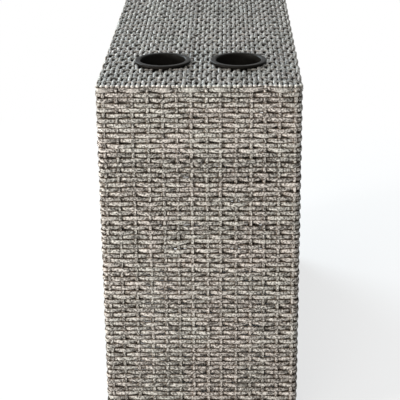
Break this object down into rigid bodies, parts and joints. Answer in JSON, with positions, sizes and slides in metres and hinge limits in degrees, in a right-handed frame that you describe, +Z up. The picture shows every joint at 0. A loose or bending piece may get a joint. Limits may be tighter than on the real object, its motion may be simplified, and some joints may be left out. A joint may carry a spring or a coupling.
{
  "type": "outdoor side table",
  "caption": "Narrow woven resin-wicker outdoor side table on a tube frame, with lift-out round cup holders in its top and levelling feet.",
  "frame": {"origin": "on the floor, under the middle of the table's outline", "axes": "+Z up, front towards -Y, +X to the right seen from the front"},
  "size_m": [0.33, 0.762, 0.6136],
  "materials": {
    "wicker": "half-round resin strand in grey-beige, fine lengthwise grooves, plain weave",
    "frame_metal": "powder coated, fine texture",
    "cup_plastic": "moulded black, satin",
    "plug_nylon": "moulded black",
    "foot_nylon": "moulded black",
    "stem_steel": "zinc plated"
  },
  "bodies": {
    "table": {"bottom_rail_back": "frame_metal", "bottom_rail_front": "frame_metal", "bottom_rail_left": "frame_metal", "bottom_rail_right": "frame_metal", "corner_post_back_left": "frame_metal", "corner_post_back_right": "frame_metal", "corner_post_front_left": "frame_metal", "corner_post_front_right": "frame_metal", "cup_bar_front": "frame_metal", "cup_bar_rear": "frame_metal", "cup_hoop_left": "frame_metal", "cup_hoop_right": "frame_metal", "hoop_strut_left": "frame_metal", "hoop_strut_middle": "frame_metal", "hoop_strut_right": "frame_metal", "middle_rail_back": "frame_metal", "middle_rail_front": "frame_metal", "middle_rail_left": "frame_metal", "middle_rail_right": "frame_metal", "post_plug_back_left": "plug_nylon", "post_plug_back_right": "plug_nylon", "post_plug_front_left": "plug_nylon", "post_plug_front_right": "plug_nylon", "top_bar_1": "frame_metal", "top_bar_2": "frame_metal", "top_bar_3": "frame_metal", "top_bar_4": "frame_metal", "top_rail_back": "frame_metal", "top_rail_front": "frame_metal", "top_rail_left": "frame_metal", "top_rail_right": "frame_metal", "weave_back": "wicker", "weave_corner_back_left": "wicker", "weave_corner_back_right": "wicker", "weave_corner_front_left": "wicker", "weave_corner_front_right": "wicker", "weave_front": "wicker", "weave_left": "wicker", "weave_right": "wicker", "weave_top": "wicker"},
    "cup_left": {"cup_holder_left": "cup_plastic"},
    "cup_right": {"cup_holder_right": "cup_plastic"},
    "pad_front_left": {"foot_pad_front_left": "foot_nylon"},
    "stem_front_left": {"foot_stem_front_left": "stem_steel"},
    "pad_front_right": {"foot_pad_front_right": "foot_nylon"},
    "stem_front_right": {"foot_stem_front_right": "stem_steel"},
    "pad_back_left": {"foot_pad_back_left": "foot_nylon"},
    "stem_back_left": {"foot_stem_back_left": "stem_steel"},
    "pad_back_right": {"foot_pad_back_right": "foot_nylon"},
    "stem_back_right": {"foot_stem_back_right": "stem_steel"}
  },
  "joints": [
    {"name": "cup_left_lift", "type": "slide", "parent": "table", "child": "cup_left", "axis": [0, 0, 1], "range_m": [0, 0.09]},
    {"name": "cup_right_lift", "type": "slide", "parent": "table", "child": "cup_right", "axis": [0, 0, 1], "range_m": [0, 0.09]},
    {"name": "foot_front_left_height", "type": "slide", "parent": "table", "child": "pad_front_left", "axis": [0, 0, -1], "range_m": [0, 0.008]},
    {"name": "foot_front_left_turn", "type": "hinge", "parent": "pad_front_left", "child": "stem_front_left", "pos_m": [-0.1452, -0.3612, 0.012], "axis": [0, 0, -1], "range_deg": [0, 2304]},
    {"name": "foot_front_right_height", "type": "slide", "parent": "table", "child": "pad_front_right", "axis": [0, 0, -1], "range_m": [0, 0.008]},
    {"name": "foot_front_right_turn", "type": "hinge", "parent": "pad_front_right", "child": "stem_front_right", "pos_m": [0.1452, -0.3612, 0.012], "axis": [0, 0, -1], "range_deg": [0, 2304]},
    {"name": "foot_back_left_height", "type": "slide", "parent": "table", "child": "pad_back_left", "axis": [0, 0, -1], "range_m": [0, 0.008]},
    {"name": "foot_back_left_turn", "type": "hinge", "parent": "pad_back_left", "child": "stem_back_left", "pos_m": [-0.1452, 0.3612, 0.012], "axis": [0, 0, -1], "range_deg": [0, 2304]},
    {"name": "foot_back_right_height", "type": "slide", "parent": "table", "child": "pad_back_right", "axis": [0, 0, -1], "range_m": [0, 0.008]},
    {"name": "foot_back_right_turn", "type": "hinge", "parent": "pad_back_right", "child": "stem_back_right", "pos_m": [0.1452, 0.3612, 0.012], "axis": [0, 0, -1], "range_deg": [0, 2304]}
  ],
  "couplings": [
    {"joint": "foot_front_left_height", "follows": "foot_front_left_turn", "m_per_rad": 0.00019894},
    {"joint": "foot_front_right_height", "follows": "foot_front_right_turn", "m_per_rad": 0.00019894},
    {"joint": "foot_back_left_height", "follows": "foot_back_left_turn", "m_per_rad": 0.00019894},
    {"joint": "foot_back_right_height", "follows": "foot_back_right_turn", "m_per_rad": 0.00019894}
  ]
}
